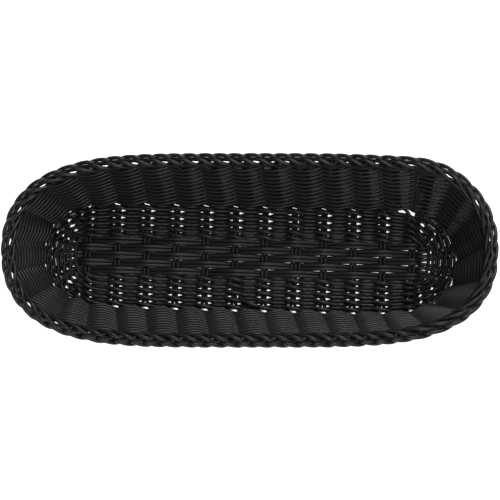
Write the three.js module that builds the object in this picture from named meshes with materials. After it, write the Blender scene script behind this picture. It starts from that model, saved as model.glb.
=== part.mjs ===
// Long oval bread basket, woven from plastic rattan strand.
// Millimetres, +Z up, origin in the middle of the footprint, the base rests on z = 0.
// Each stake pair, weaving round and border strand is its own solid, and none of them touch.

import * as THREE from 'three';

// Sections
const STAKE_WIDTH = 5.4; // two strands lying side by side, pressed together
const STAKE_THICK = 3.0;
const WEAVER_THICK = 3.0;
const WALL_WEAVER_WIDTH = 4.8;
const BASE_WEAVER_WIDTH = 3.5;
const INNER_WEAVER_WIDTH = 3.3;
const PLAY = 0.3; // clear air between two crossing pieces
const RUN_MARGIN = 1.9; // how far a flat run reaches past the edge of the stake it crosses
const LIFT = (STAKE_THICK + WEAVER_THICK) / 2 + PLAY; // from a stake's middle to a weaver's middle
const RUN_HALF = STAKE_WIDTH / 2 + RUN_MARGIN;

// Levels
const FLOOR_MID_Z = LIFT + WEAVER_THICK / 2;
const BORDER_MID_Z = 73.9;
const STAKE_TOP = 0.885; // fraction of the way from the floor to the middle of the border

// Stakes
const CROSS_COUNT = 12;
const CROSS_PITCH = 26.3;
const LONG_COUNT = 5;
const LONG_PITCH = 6.8;
const END_COUNT = LONG_COUNT + 2; // a corner stake either side of the long ones
const SIDE_X = ((CROSS_COUNT - 1) / 2) * CROSS_PITCH; // the last cross stake
const BEND_CUT = 2.6; // a stake's turn from floor to wall is cut by this much each way

// The long stakes fan out at both ends of the floor, in straight lines to their feet
const FAN_ORIGIN_X = 149.7; // where those lines meet the parallel ones
const FAN_LEVEL_X = 151.5; // the stakes are level from here outwards
const LAST_CROSS_REACH = 3.7; // flat run past the middle of the last cross stake
const CORNER_ORIGIN = new THREE.Vector2(152.5, 24.0); // the corner stakes point away from here

// Outlines, |x / length|^endPower + |y / width|^sidePower = 1
const FLOOR_EDGE = { length: 187, width: 51, endPower: 8, sidePower: 2 };
const RIM_LINE = { length: 208.6, width: 78.2, endPower: 4.5, sidePower: 2.3 };
const BASE_ROUNDS = [
  { length: 155.0, width: 19.7, endPower: 50, sidePower: 9 },
  { length: 161.4, width: 25.4, endPower: 20, sidePower: 5 },
  { length: 167.2, width: 31.2, endPower: 14, sidePower: 3.5 },
  { length: 173.0, width: 37.2, endPower: 11.5, sidePower: 2.6 },
  { length: 179.2, width: 43.4, endPower: 9.5, sidePower: 2.35 },
];
const GROUP_RUN_AT = 15.4; // the innermost round's runs over the long stakes, from the end's middle
const GROUP_RUN_HALF = 2.2;
const FIRST_CORNER_ROUND = 3; // index of the first base round that crosses the corner stakes

// Wall rounds
const WALL_ROUND_COUNT = 11;
const FIRST_WALL_ROUND = 0.084; // as fractions of the same way up as STAKE_TOP
const WALL_ROUND_STEP = 0.078;

// Border rope
const BORDER_STRANDS = 3;
const BORDER_TURNS = 13;
const BORDER_STEPS_PER_TURN = 8;
const BORDER_SIDES = 5;
const BORDER_STRAND_RADIUS = 2.65;
const BORDER_WIND_RADIUS = 3.45;

const OUTLINE_STEPS = 1440;
const UP = new THREE.Vector3(0, 0, 1);

// An outline as points with their distance along it, counter-clockwise from +X.
function makeOutline({ length, width, endPower, sidePower }) {
  const points = [];
  for (let i = 0; i <= OUTLINE_STEPS; i += 1) {
    const angle = (2 * Math.PI * i) / OUTLINE_STEPS;
    const c = Math.cos(angle);
    const s = Math.sin(angle);
    const x = Math.sign(c) * length * Math.abs(c) ** (2 / endPower);
    const y = Math.sign(s) * width * Math.abs(s) ** (2 / sidePower);
    points.push(new THREE.Vector2(x, y));
  }
  const arcs = [0];
  for (let i = 1; i < points.length; i += 1) {
    arcs.push(arcs[i - 1] + points[i].distanceTo(points[i - 1]));
  }
  return { points, arcs, total: arcs[arcs.length - 1] };
}

// Point and outward direction at a distance along an outline.
function atArc(outline, arc) {
  const wrapped = ((arc % outline.total) + outline.total) % outline.total;
  const end = outline.arcs.findIndex((value) => value > wrapped);
  const a = outline.points[end - 1];
  const b = outline.points[end];
  const part = (wrapped - outline.arcs[end - 1]) / (outline.arcs[end] - outline.arcs[end - 1]);
  const along = b.clone().sub(a).normalize();
  return {
    point: a.clone().lerp(b, part),
    outward: new THREE.Vector2(along.y, -along.x),
  };
}

// Distance along an outline at which a straight line from inside it crosses it.
function arcAtLine(outline, { start, foot }) {
  const along = foot.clone().sub(start);
  const offset = (point) => along.cross(point.clone().sub(start));
  const isAhead = (point) => along.dot(point.clone().sub(start)) > 0;
  const end = outline.points.findIndex((point, i) => (
    i > 0 && isAhead(point) && offset(point) * offset(outline.points[i - 1]) <= 0
  ));
  const before = offset(outline.points[end - 1]);
  const after = offset(outline.points[end]);
  const part = before / (before - after);
  return outline.arcs[end - 1] + part * (outline.arcs[end] - outline.arcs[end - 1]);
}

// Closed or open solid through a row of sections, each listed counter-clockwise about its travel.
function sweepSections(sections, closed) {
  const sides = sections[0].length;
  const positions = sections.flat().flatMap((point) => [point.x, point.y, point.z]);
  const index = [];
  const spans = closed ? sections.length : sections.length - 1;
  for (let i = 0; i < spans; i += 1) {
    const here = i * sides;
    const next = ((i + 1) % sections.length) * sides;
    for (let j = 0; j < sides; j += 1) {
      const k = (j + 1) % sides;
      index.push(here + j, here + k, next + k);
      index.push(here + j, next + k, next + j);
    }
  }
  if (!closed) {
    const last = (sections.length - 1) * sides;
    for (let j = 1; j < sides - 1; j += 1) {
      index.push(0, j + 1, j);
      index.push(last, last + j, last + j + 1);
    }
  }
  const geometry = new THREE.BufferGeometry();
  geometry.setAttribute('position', new THREE.Float32BufferAttribute(positions, 3));
  geometry.setIndex(index);
  geometry.computeVertexNormals();
  return geometry;
}

// Flat ribbon along stations {at, side}: width lies along side, and bends keep the thickness.
function ribbon(stations, width, thick, closed) {
  const count = stations.length;
  const sections = stations.map(({ at, side }, i) => {
    const before = stations[closed ? (i + count - 1) % count : Math.max(i - 1, 0)].at;
    const after = stations[closed ? (i + 1) % count : Math.min(i + 1, count - 1)].at;
    const faces = [];
    if (before !== at) {
      faces.push(at.clone().sub(before).cross(side).normalize());
    }
    if (after !== at) {
      faces.push(after.clone().sub(at).cross(side).normalize());
    }
    const face = faces[0].clone().add(faces[faces.length - 1]).normalize();
    const up = face.multiplyScalar(thick / 2 / face.dot(faces[0]));
    const out = side.clone().multiplyScalar(width / 2);
    return [
      at.clone().add(out).add(up),
      at.clone().sub(out).add(up),
      at.clone().sub(out).sub(up),
      at.clone().add(out).sub(up),
    ];
  });
  return sweepSections(sections, closed);
}

const floorEdge = makeOutline(FLOOR_EDGE);
const rimLine = makeOutline(RIM_LINE);
const baseOutlines = BASE_ROUNDS.map(makeOutline);

// Where the end stakes meet an outline: even steps between the last cross stakes.
function endArcs(outline, middleArc) {
  const corner = { start: new THREE.Vector2(SIDE_X, 0), foot: new THREE.Vector2(SIDE_X, 1) };
  const step = (2 * arcAtLine(outline, corner)) / (END_COUNT + 1);
  const arcs = [];
  for (let i = 1; i <= END_COUNT; i += 1) {
    arcs.push(middleArc + (i - (END_COUNT + 1) / 2) * step);
  }
  return arcs;
}

// Straight lines of the stakes across the outer floor, each from its start to its foot.
// Counter-clockwise: cross stakes on the +Y side, -X end, cross stakes on the -Y side, +X end.
function crossLines(ySign) {
  const lines = [];
  for (let k = 0; k < CROSS_COUNT; k += 1) {
    const x = ySign * (SIDE_X - k * CROSS_PITCH);
    const start = new THREE.Vector2(x, 0);
    const beyond = new THREE.Vector2(x, ySign);
    const arc = arcAtLine(floorEdge, { start, foot: beyond });
    lines.push({ start, foot: atArc(floorEdge, arc).point });
  }
  return lines;
}

function endLines(xSign) {
  const middleArc = xSign > 0 ? floorEdge.total : floorEdge.total / 2;
  return endArcs(floorEdge, middleArc).map((arc, i) => {
    const place = (i - (END_COUNT - 1) / 2) * xSign; // -3 to 3, negative towards -Y
    const isCorner = Math.abs(place) > (LONG_COUNT - 1) / 2;
    const start = isCorner
      ? new THREE.Vector2(xSign * CORNER_ORIGIN.x, Math.sign(place) * CORNER_ORIGIN.y)
      : new THREE.Vector2(xSign * FAN_ORIGIN_X, place * LONG_PITCH);
    return { start, foot: atArc(floorEdge, arc).point, isCorner };
  });
}

const floorLines = [...crossLines(1), ...endLines(-1), ...crossLines(-1), ...endLines(1)];

// The same stakes' places under the border.
function rimPoints() {
  const sidePoints = (ySign) => floorLines
    .slice(ySign > 0 ? 0 : CROSS_COUNT + END_COUNT)
    .slice(0, CROSS_COUNT)
    .map(({ start, foot }) => atArc(rimLine, arcAtLine(rimLine, { start, foot })).point);
  const endPoints = (middleArc) => endArcs(rimLine, middleArc).map((arc) => atArc(rimLine, arc).point);
  return [
    ...sidePoints(1),
    ...endPoints(rimLine.total / 2),
    ...sidePoints(-1),
    ...endPoints(rimLine.total),
  ];
}

// Wall line, outward face and level direction of every stake.
function wallFrames() {
  const heads = rimPoints();
  const lines = floorLines.map(({ foot }, k) => ({
    foot: new THREE.Vector3(foot.x, foot.y, FLOOR_MID_Z),
    head: new THREE.Vector3(heads[k].x, heads[k].y, BORDER_MID_Z),
  }));
  const middles = lines.map(({ foot, head }) => foot.clone().lerp(head, 0.5));
  return lines.map(({ foot, head }, k) => {
    const before = middles[(k + lines.length - 1) % lines.length];
    const after = middles[(k + 1) % lines.length];
    const rise = head.clone().sub(foot).normalize();
    const outward = after.clone().sub(before).cross(rise).normalize();
    const level = rise.clone().cross(outward).normalize();
    return { foot, head, rise, outward, level };
  });
}

const frames = wallFrames();

// One ribbon going round the wall, outside one stake and inside the next.
function wallRound(round) {
  const height = FIRST_WALL_ROUND + round * WALL_ROUND_STEP;
  const stations = frames.flatMap(({ foot, head, rise, outward, level }, k) => {
    const lift = (k + round) % 2 === 0 ? LIFT : -LIFT;
    const middle = foot.clone().lerp(head, height).addScaledVector(outward, lift);
    return [-RUN_HALF, RUN_HALF].map((shift) => ({
      at: middle.clone().addScaledVector(level, shift),
      side: rise,
    }));
  });
  return ribbon(stations, WALL_WEAVER_WIDTH, WEAVER_THICK, true);
}

// Stations of a ribbon lying on the floor and crossing stakes at {arc, half, over}.
function floorStations(outline, crossings) {
  return crossings.flatMap(({ arc, half, over }) => [-half, half].map((shift) => {
    const { point, outward } = atArc(outline, arc + shift);
    return {
      at: new THREE.Vector3(point.x, point.y, FLOOR_MID_Z + (over ? LIFT : -LIFT)),
      side: new THREE.Vector3(outward.x, outward.y, 0),
    };
  }));
}

// The innermost round lies over each end's five long stakes together.
// Along each side it goes under both middle cross stakes, so that both its ends come up.
function innerBaseRound() {
  const outline = baseOutlines[0];
  const side = (lines) => lines.map((line, k) => ({
    arc: arcAtLine(outline, line),
    half: RUN_HALF,
    over: k < CROSS_COUNT / 2 ? k % 2 === 0 : k % 2 === 1,
  }));
  const end = (arc) => [-GROUP_RUN_AT, GROUP_RUN_AT].map((shift) => ({
    arc: arc + shift,
    half: GROUP_RUN_HALF,
    over: true,
  }));
  const crossings = [
    ...side(crossLines(1)),
    ...end(outline.total / 2),
    ...side(crossLines(-1)),
    ...end(outline.total),
  ];
  return ribbon(floorStations(outline, crossings), INNER_WEAVER_WIDTH, WEAVER_THICK, true);
}

// The other rounds go over one stake and under the next.
function baseRound(j) {
  const outline = baseOutlines[j];
  const crossed = floorLines.filter(({ isCorner }) => j >= FIRST_CORNER_ROUND || !isCorner);
  const crossings = crossed.map((line, k) => ({
    arc: arcAtLine(outline, line),
    half: RUN_HALF,
    over: (k + j) % 2 === 0,
  }));
  return ribbon(floorStations(outline, crossings), BASE_WEAVER_WIDTH, WEAVER_THICK, true);
}

// Stations of a stake on the wall, from under the border down to its bend.
function wallStations(frame) {
  const top = frame.foot.clone().lerp(frame.head, STAKE_TOP);
  const bend = frame.foot.clone().addScaledVector(frame.rise, BEND_CUT);
  return [
    { at: top, side: frame.level.clone() },
    { at: bend, side: frame.level.clone() },
  ];
}

// The same stations from the bend up, seen by a ribbon travelling upwards.
function risingStations(frame) {
  return wallStations(frame).reverse().map(({ at, side }) => ({ at, side: side.negate() }));
}

// U-shaped stake: down the +Y wall, straight across the floor and up the -Y wall.
function crossStake(number) {
  const upper = frames[number];
  const lower = frames[CROSS_COUNT + END_COUNT + (CROSS_COUNT - 1 - number)];
  const side = new THREE.Vector3(-1, 0, 0);
  const stations = [
    ...wallStations(upper),
    { at: upper.foot.clone().setY(upper.foot.y - BEND_CUT), side },
    { at: lower.foot.clone().setY(lower.foot.y + BEND_CUT), side },
    ...risingStations(lower),
  ];
  return ribbon(stations, STAKE_WIDTH, STAKE_THICK, false);
}

// The level part of an end stake, from a distance along its line out to its bend.
function fanStations(k, from) {
  const { start, foot } = floorLines[k];
  const along = foot.clone().sub(start).normalize();
  const points = [
    start.clone().addScaledVector(along, from),
    foot.clone().addScaledVector(along, -BEND_CUT),
  ];
  return points.map((point) => ({
    at: new THREE.Vector3(point.x, point.y, FLOOR_MID_Z),
    side: new THREE.Vector3(along.y, -along.x, 0),
  }));
}

// Stations over and under the cross stakes, from -X to +X.
function wovenStations(place) {
  const stations = [];
  for (let k = 0; k < CROSS_COUNT; k += 1) {
    const x = k * CROSS_PITCH - SIDE_X;
    const isOver = (k + place + LONG_COUNT) % 2 === 0;
    const z = FLOOR_MID_Z + (isOver ? LIFT : -LIFT);
    const before = k === 0 ? LAST_CROSS_REACH : RUN_HALF;
    const after = k === CROSS_COUNT - 1 ? LAST_CROSS_REACH : RUN_HALF;
    [x - before, x + after].forEach((reach) => stations.push({
      at: new THREE.Vector3(reach, place * LONG_PITCH, z),
      side: new THREE.Vector3(0, -1, 0),
    }));
  }
  return stations;
}

// Long stake: down the -X wall, woven through the floor and up the +X wall.
// Its place counts from the middle stake, positive towards +Y.
function longStake(place) {
  const left = CROSS_COUNT + (END_COUNT - 1) / 2 - place;
  const right = 2 * CROSS_COUNT + END_COUNT + (END_COUNT - 1) / 2 + place;
  const levelFrom = FAN_LEVEL_X - FAN_ORIGIN_X;
  const leftFan = fanStations(left, levelFrom).reverse();
  const stations = [
    ...wallStations(frames[left]),
    ...leftFan.map(({ at, side }) => ({ at, side: side.negate() })),
    ...wovenStations(place),
    ...fanStations(right, levelFrom),
    ...risingStations(frames[right]),
  ];
  return ribbon(stations, STAKE_WIDTH, STAKE_THICK, false);
}

// Corner stake: starts under the fourth base round and runs out and up the wall.
function cornerStake(k) {
  const { start } = floorLines[k];
  const outline = baseOutlines[FIRST_CORNER_ROUND];
  const { point } = atArc(outline, arcAtLine(outline, floorLines[k]));
  const from = point.distanceTo(start) - BASE_WEAVER_WIDTH / 2;
  const stations = [...fanStations(k, from), ...risingStations(frames[k])];
  return ribbon(stations, STAKE_WIDTH, STAKE_THICK, false);
}

// One strand of the three-strand rope that finishes the rim. Going counter-clockwise it comes up
// on the inside and passes over the top to the outside.
function borderStrand(strand) {
  const steps = BORDER_TURNS * BORDER_STEPS_PER_TURN;
  const centres = [];
  for (let i = 0; i < steps; i += 1) {
    const wind = 2 * Math.PI * (i / BORDER_STEPS_PER_TURN + strand / BORDER_STRANDS);
    const { point, outward } = atArc(rimLine, (rimLine.total * i) / steps);
    const reach = BORDER_WIND_RADIUS * Math.cos(wind);
    centres.push(new THREE.Vector3(
      point.x + outward.x * reach,
      point.y + outward.y * reach,
      BORDER_MID_Z - BORDER_WIND_RADIUS * Math.sin(wind),
    ));
  }
  const sections = centres.map((centre, i) => {
    const before = centres[(i + steps - 1) % steps];
    const after = centres[(i + 1) % steps];
    const along = after.clone().sub(before).normalize();
    const right = along.clone().cross(UP).normalize();
    const top = along.clone().cross(right);
    const corners = [];
    for (let j = 0; j < BORDER_SIDES; j += 1) {
      const turn = (2 * Math.PI * j) / BORDER_SIDES;
      corners.push(centre.clone()
        .addScaledVector(right, BORDER_STRAND_RADIUS * Math.cos(turn))
        .addScaledVector(top, BORDER_STRAND_RADIUS * Math.sin(turn)));
    }
    return corners;
  });
  return sweepSections(sections, true);
}

const stakeMaterial = new THREE.MeshStandardMaterial({ color: 0x1c1c1d, roughness: 0.42, metalness: 0 });
const weaverMaterial = new THREE.MeshStandardMaterial({ color: 0x222223, roughness: 0.45, metalness: 0 });
const borderMaterial = new THREE.MeshStandardMaterial({ color: 0x262627, roughness: 0.42, metalness: 0 });

const group = new THREE.Group();
group.name = 'bread_basket';

function addPiece(name, geometry, material) {
  const mesh = new THREE.Mesh(geometry, material);
  mesh.name = name;
  group.add(mesh);
}

const twoDigits = (number) => String(number).padStart(2, '0');

for (let i = 0; i < CROSS_COUNT; i += 1) {
  addPiece(`cross_stake_pair_${twoDigits(i + 1)}`, crossStake(CROSS_COUNT - 1 - i), stakeMaterial);
}
for (let i = 0; i < LONG_COUNT; i += 1) {
  const place = (LONG_COUNT - 1) / 2 - i;
  addPiece(`long_stake_pair_${i + 1}`, longStake(place), stakeMaterial);
}
const cornerPositions = {
  back_left: CROSS_COUNT,
  front_left: CROSS_COUNT + END_COUNT - 1,
  front_right: 2 * CROSS_COUNT + END_COUNT,
  back_right: 2 * CROSS_COUNT + 2 * END_COUNT - 1,
};
for (const [corner, position] of Object.entries(cornerPositions)) {
  addPiece(`corner_stake_pair_${corner}`, cornerStake(position), stakeMaterial);
}
addPiece('base_round_1', innerBaseRound(), weaverMaterial);
for (let j = 1; j < BASE_ROUNDS.length; j += 1) {
  addPiece(`base_round_${j + 1}`, baseRound(j), weaverMaterial);
}
for (let i = 0; i < WALL_ROUND_COUNT; i += 1) {
  addPiece(`wall_round_${twoDigits(i + 1)}`, wallRound(i), weaverMaterial);
}
for (let i = 0; i < BORDER_STRANDS; i += 1) {
  addPiece(`border_strand_${i + 1}`, borderStrand(i), borderMaterial);
}

export default group;
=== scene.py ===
import math

import bpy
import numpy as np
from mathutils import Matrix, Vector


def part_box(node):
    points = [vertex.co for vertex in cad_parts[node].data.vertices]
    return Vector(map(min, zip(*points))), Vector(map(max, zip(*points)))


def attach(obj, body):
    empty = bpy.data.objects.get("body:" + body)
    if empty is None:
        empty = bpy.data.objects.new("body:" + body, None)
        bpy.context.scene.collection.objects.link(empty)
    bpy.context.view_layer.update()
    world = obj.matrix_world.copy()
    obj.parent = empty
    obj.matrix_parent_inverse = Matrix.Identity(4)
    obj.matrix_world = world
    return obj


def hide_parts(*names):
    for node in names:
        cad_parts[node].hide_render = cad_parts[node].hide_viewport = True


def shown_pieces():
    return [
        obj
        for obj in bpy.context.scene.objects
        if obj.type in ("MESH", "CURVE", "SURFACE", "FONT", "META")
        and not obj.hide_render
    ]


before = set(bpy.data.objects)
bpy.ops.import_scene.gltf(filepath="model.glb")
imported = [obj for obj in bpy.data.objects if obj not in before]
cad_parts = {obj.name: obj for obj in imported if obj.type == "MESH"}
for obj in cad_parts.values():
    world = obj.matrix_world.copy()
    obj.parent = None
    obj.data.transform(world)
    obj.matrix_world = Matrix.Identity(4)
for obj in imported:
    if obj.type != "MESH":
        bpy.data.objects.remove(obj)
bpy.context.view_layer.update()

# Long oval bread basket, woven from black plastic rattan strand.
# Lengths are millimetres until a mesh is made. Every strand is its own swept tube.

MM = 0.001


def cad_box(node):
    """Lowest and highest corner of a CAD node, in millimetres."""
    low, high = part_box(node)
    return np.array(low) / MM, np.array(high) / MM


# Strand
STAKE_RADIUS = 1.72
WEAVER_RADIUS = 1.58
LONG_SLACK = 0.18  # added to the radius of the long strands in the floor,
WEAVER_SLACK = 0.2  # of the wall weavers all along,
FLOOR_SLACK = 0.34  # and of the floor weavers between the fans
SLACK_HEIGHT = 5.0  # above the floor, where that slack begins to fade,
SLACK_FADE = 4.0  # over this height,
FAN_FADE = 7.0  # and over this length past the start of a fan
PAIR_HALF = 1.72  # a pair's strands lie this far either side of its middle
TUBE_SIDES = 8
PATH_STEP = 2.3
SPAN_SAMPLES = 12  # points between two given ones, before a path is cut into even steps
OUTLINE_SAMPLES = 4001
TINY = 1e-6
UPRIGHT = 0.1  # a path counts as upright if it lies closer than this to the Z direction
TIP_SHARE = 0.45  # share of the radius left at a strand's tip
PLAIN_CUT = 1.0  # length over which a cut end gets thinner,
TUCKED_CUT = 5.0  # and an end that is tucked into the border
GRAIN_SHIFT = 40.0  # the grain of each strand starts up to this far along
GRAIN_LENGTH = 100.0  # strand length that one unit of UV stands for

# Sizes read from the CAD parts
ROPE_RADIUS = 6.1
border_boxes = [cad_box(f"border_strand_{i}") for i in (1, 2, 3)]
border_low = np.min([low for low, high in border_boxes], axis=0)
border_high = np.max([high for low, high in border_boxes], axis=0)
RIM_Z = (border_low[2] + border_high[2]) / 2
RIM_LENGTH = (border_high[0] - border_low[0]) / 2 - ROPE_RADIUS
RIM_WIDTH = (border_high[1] - border_low[1]) / 2 - ROPE_RADIUS
floor_low, floor_high = cad_box("base_round_1")
FLOOR_Z = (floor_low[2] + floor_high[2]) / 2
CROSS_COUNT = 12
first_cross = cad_box("cross_stake_pair_01")
last_cross = cad_box(f"cross_stake_pair_{CROSS_COUNT}")
CROSS_PITCH = (last_cross[0][0] - first_cross[0][0]) / (CROSS_COUNT - 1)
SIDE_X = CROSS_PITCH * (CROSS_COUNT - 1) / 2
LONG_COUNT = 5
LONG_PITCH = 6.8

# Outlines |x / length|^end + |y / width|^side = 1, as (length, width, end, side)
FLOOR_EDGE = (184.4, 48.7, 7.7, 2.1)
RIM_LINE = (RIM_LENGTH, RIM_WIDTH, 4.5, 2.3)
BASE_ROUNDS = [
    (155.0, 18.7, 30.0, 2.6),
    (161.4, 24.4, 16.0, 2.5),
    (167.2, 30.7, 11.5, 2.4),
    (173.0, 37.2, 9.5, 2.25),
    (179.2, 43.8, 8.2, 2.15),
]
RIM_BULGE = 4.0  # the rim of this basket stands out at its back right corner
BULGE_X = 160.0
BULGE_SPAN = 34.0
BULGE_ALONG = 0.5  # share of the bulge that also goes lengthwise
OUTWARD_STEP = 0.8  # half the stretch of outline that an outward direction is taken from

# Wall
SIDE_STAKES = 11  # stakes on each long side, midway between the cross pairs of the floor
LEFT_STAKES = 7
RIGHT_STAKES = 6
WALL_ROUNDS = 11
WALL_TURNS = 11.1
FIRST_ROUND = -0.01  # as fractions of the way from the floor to the middle of the border
ROUND_STEP = 0.0835
WALL_WOBBLES = ((0.0022, 0.9, 0.0), (0.0016, 0.37, 1.0))  # (height, pace per stake, start)
WALL_HEIGHTS = (0.12, 0.25, 0.4, 0.55, 0.7, 0.82)  # where a stake's path has its points,
TAIL_HEIGHT = 0.90  # and where it turns into the border
RISE_STEP = 0.02  # half the height, and half the share of a stake's distance,
LEVEL_STEP = 0.12  # that the directions on the wall are taken from
LEAN = 5.5  # the stakes lean this far counter-clockwise on their way up
FOOT_JITTER = 0.5
HEAD_JITTER = 0.8
WEAVE_DEPTH = 2.9  # from a stake's middle to the middle of a weaver that passes it
WALL_TWIST = 1.52  # half the distance between two weavers where they pass each other,
FLOOR_TWIST = 1.58  # midway between two stakes
TWIST_POWER = 0.8  # below 1 the wall weavers part sooner after a stake
WEAVE_STEPS = 11  # stations from one stake to the next

# A twined pair of the floor, in shares of the way from one stake it crosses to the next
SIDE_TO = 0.29  # from here on its strands lie side by side,
DROP_FROM = 0.06  # and between these two they come level
DROP_TO = 0.38

# Floor
ROUND_START = -0.15  # a round of the floor spiral starts this far from its outline, in rounds,
ROUND_DRIFT = 0.4  # drifts out by this much evenly, and by the rest of a round
STEP_FROM = 0.9  # in the last part of its lap, at the right end
END_HALF = 14.0  # the innermost round takes an end's long strands together, this far each way
TURN_DEG = -1.5  # the floor sits slightly turned against the rim
LONG_WAVE = 2.5  # how far the long strands rise and dip at the cross pairs,
CROSS_WAVE = 0.65  # and the cross strands at the long pairs
CROSSING_HALF = 2.4  # a long strand stays up or down this far either side of a cross pair
FOOT_INSET = 2.0  # the stakes leave the floor this far inside its edge
STRAIGHT_TO = 20.0  # the cross strands lie level from the long pairs to here
SPREAD_FROM = 41.0  # the strands of a cross pair part beyond this distance from the middle line
SPREAD_LEAD = 5.0  # and at least this far before the floor's edge
SPREAD_SHARE = 0.3  # how much of the way to its wall stake a strand has gone at the floor's edge
FAN_START = 150.0  # the long strands lie close together up to about here, and then fan out
FAN_LEAD = 2.0
FAN_LENGTH = 10.0
LEFT_FAN_PITCH = 8.4
RIGHT_FAN_PITCH = 8.6
SPOKE_PITCH = 7.6  # of the strands that the floor rounds cross at the ends
CORNER_SPOKE_Y = 26.0
CORNER_RING = 3  # the first round that crosses the corner strands
CORNER_X = 154.0  # where the corner strands start
CORNER_Y = 30.0

# Spliced strands: (distance right of their place, y, height above the floor's middle)
BACK_SPLICE_PAIR = 8
BACK_SPLICE_START = [(0.0, 45.0, -0.4), (0.0, 20.0, 0.0)]
BACK_SPLICE_END = [(0.0, -11.5, -0.5)]
FRONT_SPLICE_PAIR = 6
FRONT_SPLICE = [
    (0.0, -15.0, -0.5),
    (0.0, -20.0, 0.0),
    (0.0, -34.0, 0.0),
    (2.5, -38.0, 2.4),
    (9.0, -41.0, 4.4),
    (17.5, -44.0, 4.2),
]

# Border: each strand end comes up in the middle of the rope, turns outward and winds once
# round it: (distance counter-clockwise, distance outward, height above the rope's middle)
FIRST_RISE = -4.0  # where the clockwise strand of a stake comes up, from the stake
SECOND_RISE = FIRST_RISE + CROSS_PITCH / 2  # and the other one, midway to the next stake
RISE_JITTER = 0.9
LIFT_JITTER = 0.2
BORDER_ROUTE = [
    (-2.2, 0.8, -2.6),
    (0.3, 1.5, 0.4),
    (2.6, 2.4, 2.7),
    (6.0, 3.7, 3.3),
    (10.5, 4.5, 1.6),
    (15.0, 4.6, -1.1),
    (19.5, 3.3, -3.9),
    (23.5, 0.6, -4.8),
    (28.5, -2.4, -4.3),
    (34.0, -4.3, -2.5),
    (39.5, -4.7, -0.2),
    (44.5, -4.2, 2.4),
    (48.5, -3.1, 3.9),
    (52.5, -1.5, 4.3),
    (56.0, -0.1, 3.5),
    (58.5, 0.7, 2.0),
    (61.5, 0.7, 0.5),
    (65.5, 0.5, -0.7),
    (71.0, 0.8, -1.3),
    (78.5, 1.7, -1.3),
    (86.0, 0.5, -1.2),
]

rng = np.random.RandomState(11)


# ---------------------------------------------------------------- outlines

def unit(vectors):
    return vectors / np.linalg.norm(vectors, axis=-1, keepdims=True)


def distances(path):
    """Distance along a path of each of its points."""
    steps = np.linalg.norm(np.diff(path, axis=0), axis=1)
    return np.concatenate([[0.0], np.cumsum(steps)])


class Outline:
    """Closed outline with places given by their distance along it, counter-clockwise from +X."""

    def __init__(self, shape, bulge=0.0):
        length, width, end_power, side_power = shape
        angle = np.linspace(0.0, 2 * math.pi, OUTLINE_SAMPLES)
        c = np.cos(angle)
        s = np.sin(angle)
        x = np.sign(c) * length * np.abs(c) ** (2 / end_power)
        y = np.sign(s) * width * np.abs(s) ** (2 / side_power)
        out = bulge * np.exp(-((x - BULGE_X) / BULGE_SPAN) ** 2) * (y > 0)
        self.points = np.column_stack([x + BULGE_ALONG * out, y + out])
        self.arcs = distances(self.points)
        self.total = self.arcs[-1]

    def at(self, arc):
        arc = np.mod(arc, self.total)
        x = np.interp(arc, self.arcs, self.points[:, 0])
        y = np.interp(arc, self.arcs, self.points[:, 1])
        return np.stack([x, y], axis=-1)

    def outward(self, arc):
        arc = np.asarray(arc)
        ahead = self.at(arc + OUTWARD_STEP) - self.at(arc - OUTWARD_STEP)
        ahead = unit(ahead)
        return np.stack([ahead[..., 1], -ahead[..., 0]], axis=-1)

    def arc_on_line(self, start, foot):
        """Where a straight line from inside the outline, through foot, crosses it."""
        start = np.asarray(start, float)
        along = np.asarray(foot, float) - start
        offset = self.points - start
        across = along[0] * offset[:, 1] - along[1] * offset[:, 0]
        ahead = offset @ along > 0
        crossing = (across[1:] * across[:-1] <= 0) & ahead[1:]
        i = int(np.argmax(crossing))
        part = across[i] / (across[i] - across[i + 1])
        return self.arcs[i] + part * (self.arcs[i + 1] - self.arcs[i])


floor_edge = Outline(FLOOR_EDGE)
rim_line = Outline(RIM_LINE, RIM_BULGE)
base_outlines = [Outline(shape) for shape in BASE_ROUNDS] + [floor_edge]


# ---------------------------------------------------------------- places of the wall stakes

def stake_arcs(outline):
    """Arcs of all wall stakes: back side, left end, front side and right end, counter-clockwise."""
    side_x = [CROSS_PITCH * (i - (SIDE_STAKES - 1) / 2) for i in range(SIDE_STAKES)]
    back = [outline.arc_on_line((x, 0), (x, 1)) for x in reversed(side_x)]
    front = [outline.arc_on_line((x, 0), (x, -1)) for x in side_x]
    left = np.linspace(back[-1], front[0], LEFT_STAKES + 2)[1:-1]
    right = np.linspace(front[-1], back[0] + outline.total, RIGHT_STAKES + 2)[1:-1]
    return np.concatenate([back, left, front, right])


foot_arcs = stake_arcs(floor_edge)
head_arcs = stake_arcs(rim_line) + LEAN
WALL_STAKES = len(foot_arcs)
even_arcs = head_arcs.copy()
foot_arcs = foot_arcs + rng.uniform(-FOOT_JITTER, FOOT_JITTER, WALL_STAKES)
head_arcs = head_arcs + rng.uniform(-HEAD_JITTER, HEAD_JITTER, WALL_STAKES)
LEFT_FIRST = SIDE_STAKES
FRONT_FIRST = SIDE_STAKES + LEFT_STAKES
RIGHT_FIRST = 2 * SIDE_STAKES + LEFT_STAKES


def around(arcs, total, place):
    """Arc at a place between the stakes, counted in stakes from the first one."""
    laps = np.floor(np.asarray(place, float) / WALL_STAKES)
    within = np.asarray(place, float) - laps * WALL_STAKES
    known = np.append(arcs, arcs[0] + total)
    return np.interp(within, np.arange(WALL_STAKES + 1), known) + laps * total


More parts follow.
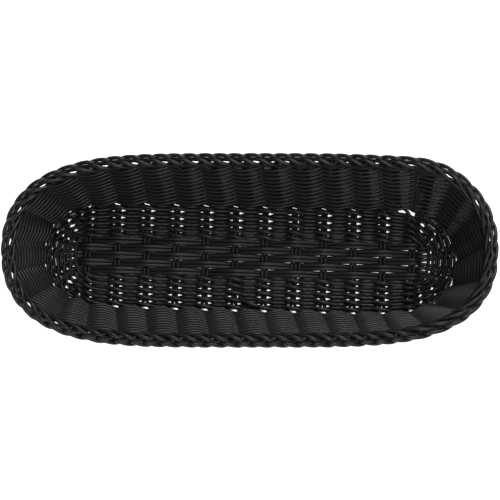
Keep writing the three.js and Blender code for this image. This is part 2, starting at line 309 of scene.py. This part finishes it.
def wall_point(place, height):
    """Point on the wall, from the floor's edge (height 0) to the middle of the border (1)."""
    foot = floor_edge.at(around(foot_arcs, floor_edge.total, place))
    head = rim_line.at(around(head_arcs, rim_line.total, place))
    share = np.asarray(height, float)[..., None]
    flat = foot * (1 - share) + head * share
    z = FLOOR_Z + (RIM_Z - FLOOR_Z) * np.maximum(height, 0.0)
    return np.concatenate([flat, z[..., None]], axis=-1)


def wall_frame(place, height):
    """Point, level (counter-clockwise), rise and outward directions on the wall."""
    place = np.asarray(place, float)
    height = np.asarray(height, float) + 0 * place
    rise = unit(wall_point(place, height + RISE_STEP) - wall_point(place, height - RISE_STEP))
    level = unit(wall_point(place + LEVEL_STEP, height) - wall_point(place - LEVEL_STEP, height))
    outward = unit(np.cross(level, rise))
    return wall_point(place, height), level, rise, outward


# ---------------------------------------------------------------- paths and tubes

def ease(share):
    """From 0 to 1 with a soft start and end."""
    share = np.clip(share, 0.0, 1.0)
    return share * share * (3 - 2 * share)


def mix(t, t_from, t_to, start, end):
    return (t_to - t) / (t_to - t_from) * start + (t - t_from) / (t_to - t_from) * end


def smooth(points):
    """A rounded path through the points (centripetal Catmull-Rom curve), in even steps."""
    points = np.asarray(points, float)
    padded = np.vstack([2 * points[0] - points[1], points, 2 * points[-1] - points[-2]])
    pieces = []
    for p0, p1, p2, p3 in zip(padded[:-3], padded[1:-2], padded[2:-1], padded[3:]):
        t0 = 0.0
        t1 = t0 + max(np.linalg.norm(p1 - p0), TINY) ** 0.5
        t2 = t1 + max(np.linalg.norm(p2 - p1), TINY) ** 0.5
        t3 = t2 + max(np.linalg.norm(p3 - p2), TINY) ** 0.5
        t = np.linspace(t1, t2, SPAN_SAMPLES, endpoint=False)[:, None]
        a1 = mix(t, t0, t1, p0, p1)
        a2 = mix(t, t1, t2, p1, p2)
        a3 = mix(t, t2, t3, p2, p3)
        b1 = mix(t, t0, t2, a1, a2)
        b2 = mix(t, t1, t3, a2, a3)
        pieces.append(mix(t, t1, t2, b1, b2))
    dense = np.vstack(pieces + [points[-1:]])
    arcs = distances(dense)
    count = max(3, int(round(arcs[-1] / PATH_STEP)) + 1)
    even = np.linspace(0.0, arcs[-1], count)
    return np.column_stack([np.interp(even, arcs, dense[:, i]) for i in range(3)])


def turn_floor(path):
    """Turns the floor about the middle; the turn fades out towards the rim."""
    share = np.clip(1 - path[:, 2] / RIM_Z, 0.0, 1.0)
    angle = math.radians(TURN_DEG) * share
    x = path[:, 0] * np.cos(angle) - path[:, 1] * np.sin(angle)
    y = path[:, 0] * np.sin(angle) + path[:, 1] * np.cos(angle)
    return np.column_stack([x, y, path[:, 2]])


def tube_rings(path, radii):
    """Rings of a round tube along the path, without twist."""
    ahead = unit(np.gradient(path, axis=0))
    side = np.cross(ahead[0], [0.0, 0.0, 1.0])
    if np.linalg.norm(side) < UPRIGHT:
        side = np.cross(ahead[0], [1.0, 0.0, 0.0])
    side = unit(side)
    sides = []
    for direction in ahead:
        side = unit(side - direction * np.dot(side, direction))
        sides.append(side)
    sides = np.array(sides)
    third = np.cross(ahead, sides)
    angle = 2 * math.pi * np.arange(TUBE_SIDES) / TUBE_SIDES
    ring = np.cos(angle)[None, :, None] * sides[:, None, :]
    ring = ring + np.sin(angle)[None, :, None] * third[:, None, :]
    return path[:, None, :] + ring * radii[:, None, None]


def cut_ends(path, radius, taper_start, taper_end):
    """Radius along a path: full, and getting thinner towards the cut at either end."""
    arcs = distances(path)
    left = arcs[-1] - arcs
    radii = np.full(len(path), radius)
    radii = radii * np.clip(TIP_SHARE + (1 - TIP_SHARE) * arcs / taper_start, 0.0, 1.0)
    return radii * np.clip(TIP_SHARE + (1 - TIP_SHARE) * left / taper_end, 0.0, 1.0)


def tube_mesh(name, rings, arcs):
    """Closed smooth tube over the rings, with its girth and length as UV."""
    count = len(rings)
    points = (rings.reshape(-1, 3) * MM).tolist()
    faces = []
    uvs = []
    start_uv = rng.uniform(0.0, GRAIN_SHIFT)
    for i in range(count - 1):
        v0 = (arcs[i] + start_uv) / GRAIN_LENGTH
        v1 = (arcs[i + 1] + start_uv) / GRAIN_LENGTH
        for j in range(TUBE_SIDES):
            k = (j + 1) % TUBE_SIDES
            faces.append((
                i * TUBE_SIDES + j,
                i * TUBE_SIDES + k,
                (i + 1) * TUBE_SIDES + k,
                (i + 1) * TUBE_SIDES + j,
            ))
            u0 = j / TUBE_SIDES
            u1 = (j + 1) / TUBE_SIDES
            uvs.extend([(u0, v0), (u1, v0), (u1, v1), (u0, v1)])
    faces.append(tuple(reversed(range(TUBE_SIDES))))
    faces.append(tuple((count - 1) * TUBE_SIDES + j for j in range(TUBE_SIDES)))
    end_uv = [(0.5, 0.0)] * (2 * TUBE_SIDES)
    mesh = bpy.data.meshes.new(name)
    mesh.from_pydata(points, [], faces)
    layer = mesh.uv_layers.new(name="strand")
    layer.data.foreach_set("uv", np.array(uvs + end_uv, np.float32).ravel())
    mesh.polygons.foreach_set("use_smooth", [True] * len(mesh.polygons))
    return mesh


def make_strand(name, path, radius, material, nodes,
                taper=(PLAIN_CUT, PLAIN_CUT), slack=0.0):
    """One strand as a tube that rides on the one CAD body.

    In the floor, between the fans at its ends, slack is added to the radius.
    """
    path = turn_floor(np.asarray(path, float))
    low_share = 1 - ease((path[:, 2] - FLOOR_Z - SLACK_HEIGHT) / SLACK_FADE)
    middle_share = ease((FAN_START + FAN_FADE - np.abs(path[:, 0])) / FAN_FADE)
    radii = cut_ends(path, radius, *taper) + slack * low_share * middle_share
    mesh = tube_mesh(name, tube_rings(path, radii), distances(path))
    mesh.materials.append(material)
    mesh.update()
    piece = bpy.data.objects.new(name, mesh)
    bpy.context.scene.collection.objects.link(piece)
    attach(piece, "root")
    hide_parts(*nodes)


# ---------------------------------------------------------------- materials

COLOUR_DRIFT = (0.62, 1.45)  # darkest and lightest, as shares of a material's colour
SHEEN_DRIFT = (-0.07, 0.09)  # glossiest and dullest, added to its roughness


def strand_material(name, colour, roughness, specular):
    """Satin black plastic with fine lengthwise grain, faint colour drift and duller spots."""
    material = bpy.data.materials.new(name)
    material.use_nodes = True
    nodes = material.node_tree.nodes
    links = material.node_tree.links
    shader = nodes["Principled BSDF"]
    shader.inputs["Specular IOR Level"].default_value = specular

    place = nodes.new("ShaderNodeTexCoord")
    drift = nodes.new("ShaderNodeTexNoise")
    drift.inputs["Scale"].default_value = 45.0
    drift.inputs["Detail"].default_value = 3.0
    links.new(place.outputs["Object"], drift.inputs["Vector"])
    tint = nodes.new("ShaderNodeValToRGB")
    tint.color_ramp.elements[0].position = 0.3
    tint.color_ramp.elements[1].position = 0.72
    dark = [COLOUR_DRIFT[0] * c for c in colour]
    light = [COLOUR_DRIFT[1] * c for c in colour]
    tint.color_ramp.elements[0].color = (*dark, 1.0)
    tint.color_ramp.elements[1].color = (*light, 1.0)
    links.new(drift.outputs["Fac"], tint.inputs["Fac"])
    links.new(tint.outputs["Color"], shader.inputs["Base Color"])

    stretch = nodes.new("ShaderNodeMapping")
    stretch.inputs["Scale"].default_value = (9.0, 14.0, 1.0)
    links.new(place.outputs["UV"], stretch.inputs["Vector"])
    grain = nodes.new("ShaderNodeTexNoise")
    grain.inputs["Scale"].default_value = 2.2
    grain.inputs["Detail"].default_value = 4.0
    grain.inputs["Roughness"].default_value = 0.6
    links.new(stretch.outputs["Vector"], grain.inputs["Vector"])
    spread = nodes.new("ShaderNodeMapRange")
    spread.inputs["From Min"].default_value = 0.3
    spread.inputs["From Max"].default_value = 0.7
    spread.inputs["To Min"].default_value = roughness + SHEEN_DRIFT[0]
    spread.inputs["To Max"].default_value = roughness + SHEEN_DRIFT[1]
    links.new(grain.outputs["Fac"], spread.inputs["Value"])
    links.new(spread.outputs["Result"], shader.inputs["Roughness"])

    bump = nodes.new("ShaderNodeBump")
    bump.inputs["Strength"].default_value = 0.35
    bump.inputs["Distance"].default_value = 0.00025
    links.new(grain.outputs["Fac"], bump.inputs["Height"])
    links.new(bump.outputs["Normal"], shader.inputs["Normal"])
    return material


stake_plastic = strand_material(
    "stake_plastic", colour=(0.0105, 0.0105, 0.0108), roughness=0.40, specular=0.42)
weaver_plastic = strand_material(
    "weaver_plastic", colour=(0.0120, 0.0120, 0.0122), roughness=0.42, specular=0.42)


# ---------------------------------------------------------------- stakes

def border_tail(place, side):
    """The end of a strand, from under the rim once round the border rope."""
    start, level = wall_frame(place, TAIL_HEIGHT)[:2]
    rise_at = FIRST_RISE if side < 0 else SECOND_RISE
    shift = rise_at + rng.uniform(-RISE_JITTER, RISE_JITTER)
    lift = rng.uniform(-LIFT_JITTER, LIFT_JITTER)
    points = [start + level * side * PAIR_HALF]
    for ahead, out, up in BORDER_ROUTE:
        arc = around(even_arcs, rim_line.total, place + (shift + ahead) / CROSS_PITCH)
        at = rim_line.at(arc) + rim_line.outward(arc) * out
        points.append(np.array([at[0], at[1], RIM_Z + up + lift]))
    return points


def wall_run(place, side):
    """Up the wall from the bend to just under the border."""
    points = []
    for height in WALL_HEIGHTS:
        at, level = wall_frame(place, height)[:2]
        points.append(at + level * side * PAIR_HALF)
    return points


def climb(place, side):
    return wall_run(place, side) + border_tail(place, side)


def foot_point(place, side):
    """Where a strand leaves the floor, a little inside the floor's edge."""
    arc = float(around(foot_arcs, floor_edge.total, place)) + side * PAIR_HALF
    at = floor_edge.at(arc) - floor_edge.outward(arc) * FOOT_INSET
    return np.array([at[0], at[1], FLOOR_Z])


def cross_x(k):
    return k * CROSS_PITCH - SIDE_X


def long_is_over(k, place):
    """Does the long pair at this place, -2 to 2, pass over cross pair k?"""
    return (k + place + LONG_COUNT) % 2 == 0


def floor_run(k, x, places):
    """Across the long pairs, over and under them."""
    points = []
    for place in places:
        wave = -CROSS_WAVE if long_is_over(k, place) else CROSS_WAVE
        points.append(np.array([x, place * LONG_PITCH, FLOOR_Z + wave]))
    return points


def cross_strand(k, half):
    """From the back border across the floor to the front border; half is -1 for left, 1 for right."""
    x = cross_x(k) + half * PAIR_HALF
    neighbour = k if half > 0 else k - 1  # which side stake, counted from the left, it goes to
    if neighbour < 0:
        back_place, back_side = LEFT_FIRST, -1
        front_place, front_side = FRONT_FIRST - 1, 1
    elif neighbour >= SIDE_STAKES:
        back_place, back_side = WALL_STAKES - 1, 1
        front_place, front_side = RIGHT_FIRST, -1
    else:
        back_place, back_side = SIDE_STAKES - 1 - neighbour, half
        front_place, front_side = FRONT_FIRST + neighbour, -half
    back_foot = foot_point(back_place, back_side)
    front_foot = foot_point(front_place, front_side)
    back_foot[0] = x + (back_foot[0] - x) * SPREAD_SHARE
    front_foot[0] = x + (front_foot[0] - x) * SPREAD_SHARE
    nearest_foot = min(abs(back_foot[1]), abs(front_foot[1]))
    spread = min(SPREAD_FROM, nearest_foot - SPREAD_LEAD)
    points = list(reversed(climb(back_place, back_side)))
    points += [back_foot, np.array([x, spread, FLOOR_Z]), np.array([x, STRAIGHT_TO, FLOOR_Z])]
    points += floor_run(k, x, (2, 1, 0, -1, -2))
    points += [np.array([x, -STRAIGHT_TO, FLOOR_Z]), np.array([x, -spread, FLOOR_Z]), front_foot]
    return smooth(points + climb(front_place, front_side))


def splice_points(x, route):
    return [np.array([x + right, y, FLOOR_Z + up]) for right, y, up in route]


def spliced_back():
    """A third strand beside the eighth cross pair, from the back edge to past the middle."""
    k = BACK_SPLICE_PAIR - 1
    x = cross_x(k) + 3 * PAIR_HALF
    points = splice_points(x, BACK_SPLICE_START) + floor_run(k, x, (2, 1, 0, -1))
    return smooth(points + splice_points(x, BACK_SPLICE_END))


def spliced_front():
    """A third strand beside the sixth cross pair, its loose end lying over the last rounds."""
    x = cross_x(FRONT_SPLICE_PAIR - 1) + 3 * PAIR_HALF
    return smooth(splice_points(x, FRONT_SPLICE))


def long_strand(place, half):
    """From the left border down, woven through the floor and up to the right border."""
    y = place * LONG_PITCH + half * PAIR_HALF
    side = -half
    left_place = LEFT_FIRST + (LEFT_STAKES - 1) / 2 - place
    # at the right end the pairs part, and neighbours share a stake
    right_place = RIGHT_FIRST + (RIGHT_STAKES - 1) / 2 + place + half / 2
    left_y = place * LEFT_FAN_PITCH + half * PAIR_HALF
    right_y = (place + half / 2) * RIGHT_FAN_PITCH - half * PAIR_HALF
    lead_x = FAN_START + FAN_LEAD
    fan_x = FAN_START + FAN_LENGTH
    points = list(reversed(climb(left_place, side)))
    points += [foot_point(left_place, side), np.array([-fan_x, left_y, FLOOR_Z])]
    points.append(np.array([-lead_x, y, FLOOR_Z]))
    for k in range(CROSS_COUNT):
        wave = LONG_WAVE if long_is_over(k, place) else -LONG_WAVE
        points.append(np.array([cross_x(k) - CROSSING_HALF, y, FLOOR_Z + wave]))
        points.append(np.array([cross_x(k) + CROSSING_HALF, y, FLOOR_Z + wave]))
    points.append(np.array([lead_x, y, FLOOR_Z]))
    points += [np.array([fan_x, right_y, FLOOR_Z]), foot_point(right_place, side)]
    return smooth(points + climb(right_place, side))


def corner_strand(place, side, start_y):
    """A single strand let in at a left corner of the floor, running up the wall."""
    root = np.array([-CORNER_X, start_y, FLOOR_Z])
    return smooth([root, foot_point(place, side)] + climb(place, side))


def build_stakes():
    for k in range(CROSS_COUNT):
        for half, letter in ((-1, "a"), (1, "b")):
            make_strand(
                f"cross_strand_{k + 1:02d}{letter}", cross_strand(k, half), STAKE_RADIUS,
                stake_plastic, [f"cross_stake_pair_{k + 1:02d}"],
                (TUCKED_CUT, TUCKED_CUT))
    make_strand(
        "spliced_strand_back", spliced_back(), STAKE_RADIUS,
        stake_plastic, ["cross_stake_pair_08"])
    make_strand(
        "spliced_strand_front", spliced_front(), STAKE_RADIUS,
        stake_plastic, ["cross_stake_pair_06"])
    for i in range(LONG_COUNT):
        place = (LONG_COUNT - 1) / 2 - i
        for half, letter in ((1, "a"), (-1, "b")):
            make_strand(
                f"long_strand_{i + 1}{letter}", long_strand(place, half), STAKE_RADIUS,
                stake_plastic, [f"long_stake_pair_{i + 1}"],
                (TUCKED_CUT, TUCKED_CUT), LONG_SLACK)
    make_strand(
        "corner_strand_back_left", corner_strand(LEFT_FIRST, 1, CORNER_Y), STAKE_RADIUS,
        stake_plastic,
        ["corner_stake_pair_back_left", "corner_stake_pair_back_right"],
        (PLAIN_CUT, TUCKED_CUT))
    make_strand(
        "corner_strand_front_left", corner_strand(FRONT_FIRST - 1, -1, -CORNER_Y),
        STAKE_RADIUS, stake_plastic,
        ["corner_stake_pair_front_left", "corner_stake_pair_front_right"],
        (PLAIN_CUT, TUCKED_CUT))


# ---------------------------------------------------------------- weavers

def wall_weaver(sign):
    """One of the two strands twined up the wall in a spiral."""
    count = WALL_TURNS * WALL_STAKES
    place = np.linspace(0.0, count, int(count * WEAVE_STEPS) + 1)
    height = FIRST_ROUND + ROUND_STEP * place / WALL_STAKES
    for size, pace, start in WALL_WOBBLES:
        height = height + size * np.sin(place * pace + start)
    at, _, rise, outward = wall_frame(place, height)
    inward = sign * WEAVE_DEPTH * np.cos(math.pi * place)
    turn = np.sin(math.pi * place)
    raised = -sign * WALL_TWIST * np.sign(turn) * np.abs(turn) ** TWIST_POWER
    return at - outward * inward[:, None] + rise * raised[:, None]


def cross_lines(side):
    """Lines of the cross pairs to the back (side 1) or front (-1), counter-clockwise."""
    order = reversed(range(CROSS_COUNT)) if side > 0 else range(CROSS_COUNT)
    return [((cross_x(k), 0.0), (cross_x(k), side)) for k in order]


def spoke_line(x, y, place):
    """Line of a strand from its start in the floor to its wall stake."""
    return (x, y), floor_edge.at(foot_arcs[place])


def floor_spokes(ring):
    """Lines of all spokes crossed by a floor round, counter-clockwise from the back right."""
    middle = LEFT_FIRST + (LEFT_STAKES - 1) // 2
    left = [
        spoke_line(-FAN_START, -shift * SPOKE_PITCH, middle + shift)
        for shift in (-2, -1, 0, 1, 2)
    ]
    if ring >= CORNER_RING:
        left.insert(0, spoke_line(-FAN_START, CORNER_SPOKE_Y, LEFT_FIRST))
        left.append(spoke_line(-FAN_START, -CORNER_SPOKE_Y, FRONT_FIRST - 1))
    right = [
        spoke_line(FAN_START, (i - (RIGHT_STAKES - 1) / 2) * SPOKE_PITCH, RIGHT_FIRST + i)
        for i in range(RIGHT_STAKES)
    ]
    return cross_lines(1) + left + cross_lines(-1) + right


def base_stations(ring, outline):
    """Arcs on an outline where a floor round crosses its spokes, and the phase of each crossing."""
    if ring > 0:
        arcs = [outline.arc_on_line(*line) for line in floor_spokes(ring)]
        lap = 2 * math.pi / outline.total
        arcs = list(np.unwrap(np.array(arcs) * lap) / lap)
        return np.array(arcs + [arcs[0] + outline.total]), np.arange(len(arcs) + 1)
    # the innermost round takes each end's long strands together
    arcs = [outline.arc_on_line(*line) for line in cross_lines(1)]
    arcs += [outline.total / 2 - END_HALF, outline.total / 2 + END_HALF]
    arcs += [outline.arc_on_line(*line) for line in cross_lines(-1)]
    arcs += [outline.total - END_HALF, outline.total + END_HALF]
    phases = list(range(CROSS_COUNT)) + [CROSS_COUNT, CROSS_COUNT]
    phases += [CROSS_COUNT + 1 + i for i in range(CROSS_COUNT)]
    phases += [2 * CROSS_COUNT + 1, 2 * CROSS_COUNT + 1, 2 * CROSS_COUNT + 2]
    return np.array(arcs + [arcs[0] + outline.total]), np.array(phases)


def twist(phase):
    """Sideways and upward share of a twined strand; phase counts half turns from a crossing."""
    part = np.mod(phase, 1.0)
    near = np.minimum(part, 1 - part)
    apart = np.clip(near / SIDE_TO, 0.0, 1.0)
    level = ease((near - DROP_FROM) / (DROP_TO - DROP_FROM))
    lap = 1 - 2 * np.mod(np.floor(phase), 2)
    over = 1 - 2 * np.mod(np.round(phase), 2)
    return lap * apart, over * (1 - level)


def between(stations, i, part):
    return stations[i] + part * (stations[i + 1] - stations[i])


def round_growth(lap):
    """How far the floor spiral is from a round's outline, as a share of the way to the next."""
    step = float(ease((lap - STEP_FROM) / (1 - STEP_FROM)))
    return ROUND_START + ROUND_DRIFT * lap + (1 - ROUND_DRIFT) * step


def base_weaver(sign):
    """One of the two strands twined round the floor in a spiral of five rounds."""
    points = []
    turns = 0
    for ring in range(len(BASE_ROUNDS)):
        inner = base_outlines[max(ring - 1, 0)]
        middle = base_outlines[ring]
        outer = base_outlines[ring + 1]
        inner_arcs = base_stations(ring, inner)[0]
        outer_arcs = base_stations(ring, outer)[0]
        arcs, phases = base_stations(ring, middle)
        for i in range(len(arcs) - 1):
            steps = max(3, int(round((arcs[i + 1] - arcs[i]) / PATH_STEP)))
            for part in np.arange(steps) / steps:
                here = between(arcs, i, part)
                growth = round_growth((here - arcs[0]) / middle.total)
                if growth < 0:
                    there = inner.at(between(inner_arcs, i, part))
                else:
                    there = outer.at(between(outer_arcs, i, part))
                flat = middle.at(here) * (1 - abs(growth)) + there * abs(growth)
                sideways, upward = twist(turns + between(phases, i, part))
                flat = flat + middle.outward(here) * sign * FLOOR_TWIST * sideways
                up = sign * WEAVE_DEPTH * upward
                points.append(np.array([flat[0], flat[1], FLOOR_Z + up]))
        turns = turns + phases[-1]
    return np.array(points)


def build_weavers():
    wall_nodes = [f"wall_round_{i:02d}" for i in range(1, WALL_ROUNDS + 1)]
    base_nodes = [f"base_round_{i}" for i in range(1, len(BASE_ROUNDS) + 1)]
    for sign, letter in ((1, "a"), (-1, "b")):
        make_strand(
            f"wall_weaver_{letter}", wall_weaver(sign), WEAVER_RADIUS + WEAVER_SLACK,
            weaver_plastic, wall_nodes)
        make_strand(
            f"base_weaver_{letter}", base_weaver(sign), WEAVER_RADIUS,
            weaver_plastic, base_nodes, slack=FLOOR_SLACK)


build_stakes()
build_weavers()

# the wound ends of these strands are the border
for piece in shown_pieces():
    if piece.name.startswith(("cross_strand", "long_strand", "corner_strand")):
        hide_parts("border_strand_1", "border_strand_2", "border_strand_3")


# ---------------------------------------------------------------- floor, light and camera

# In metres, degrees and watts; the lens and sensor are in millimetres
FLOOR_HALF = 6.0
WORLD_STRENGTH = 0.19
LIGHT_AIM = (0.0, 0.0, 0.03)
LIGHT_SIDE = 1.0
KEY_PLACE = (0.55, 1.3, 1.3)
KEY_POWER = 20.0
FILL_PLACE = (0.35, -1.15, 1.7)
FILL_POWER = 14.0
CAMERA_ELEVATION = 84.0
CAMERA_DISTANCE = 2.0
CAMERA_LENS = 167.0
CAMERA_SENSOR = 36.0


def build_floor():
    mesh = bpy.data.meshes.new("studio_floor")
    half = FLOOR_HALF
    corners = [(-half, -half, 0.0), (half, -half, 0.0), (half, half, 0.0), (-half, half, 0.0)]
    mesh.from_pydata(corners, [], [(0, 1, 2, 3)])
    material = bpy.data.materials.new("studio_white")
    material.use_nodes = True
    shader = material.node_tree.nodes["Principled BSDF"]
    shader.inputs["Base Color"].default_value = (0.9, 0.9, 0.9, 1.0)
    shader.inputs["Roughness"].default_value = 0.9
    shader.inputs["Emission Color"].default_value = (1.0, 1.0, 1.0, 1.0)
    shader.inputs["Emission Strength"].default_value = 1.0
    mesh.materials.append(material)
    floor = bpy.data.objects.new("studio_floor", mesh)
    bpy.context.scene.collection.objects.link(floor)


def area_light(name, location, power):
    data = bpy.data.lights.new(name, "AREA")
    data.shape = "RECTANGLE"
    data.size = LIGHT_SIDE
    data.size_y = LIGHT_SIDE
    data.energy = power
    lamp = bpy.data.objects.new(name, data)
    bpy.context.scene.collection.objects.link(lamp)
    lamp.location = location
    direction = Vector(LIGHT_AIM) - Vector(location)
    lamp.rotation_euler = direction.to_track_quat("-Z", "Y").to_euler()


def build_lights():
    world = bpy.data.worlds.new("studio")
    world.use_nodes = True
    background = world.node_tree.nodes["Background"]
    background.inputs["Color"].default_value = (1.0, 1.0, 1.0, 1.0)
    background.inputs["Strength"].default_value = WORLD_STRENGTH
    bpy.context.scene.world = world
    area_light("key", KEY_PLACE, KEY_POWER)
    area_light("fill", FILL_PLACE, FILL_POWER)


def build_camera():
    data = bpy.data.cameras.new("camera")
    data.lens = CAMERA_LENS
    data.sensor_width = CAMERA_SENSOR
    camera = bpy.data.objects.new("camera", data)
    bpy.context.scene.collection.objects.link(camera)
    target = Vector(((border_low[0] + border_high[0]) / 2 * MM, 0.0, RIM_Z * MM))
    tilt = math.radians(CAMERA_ELEVATION)
    back = Vector((0.0, -math.cos(tilt), math.sin(tilt)))
    camera.location = target + back * CAMERA_DISTANCE
    camera.rotation_euler = (-back).to_track_quat("-Z", "Y").to_euler()
    bpy.context.scene.camera = camera


build_floor()
build_lights()
build_camera()
bpy.context.scene.view_settings.view_transform = "Standard"
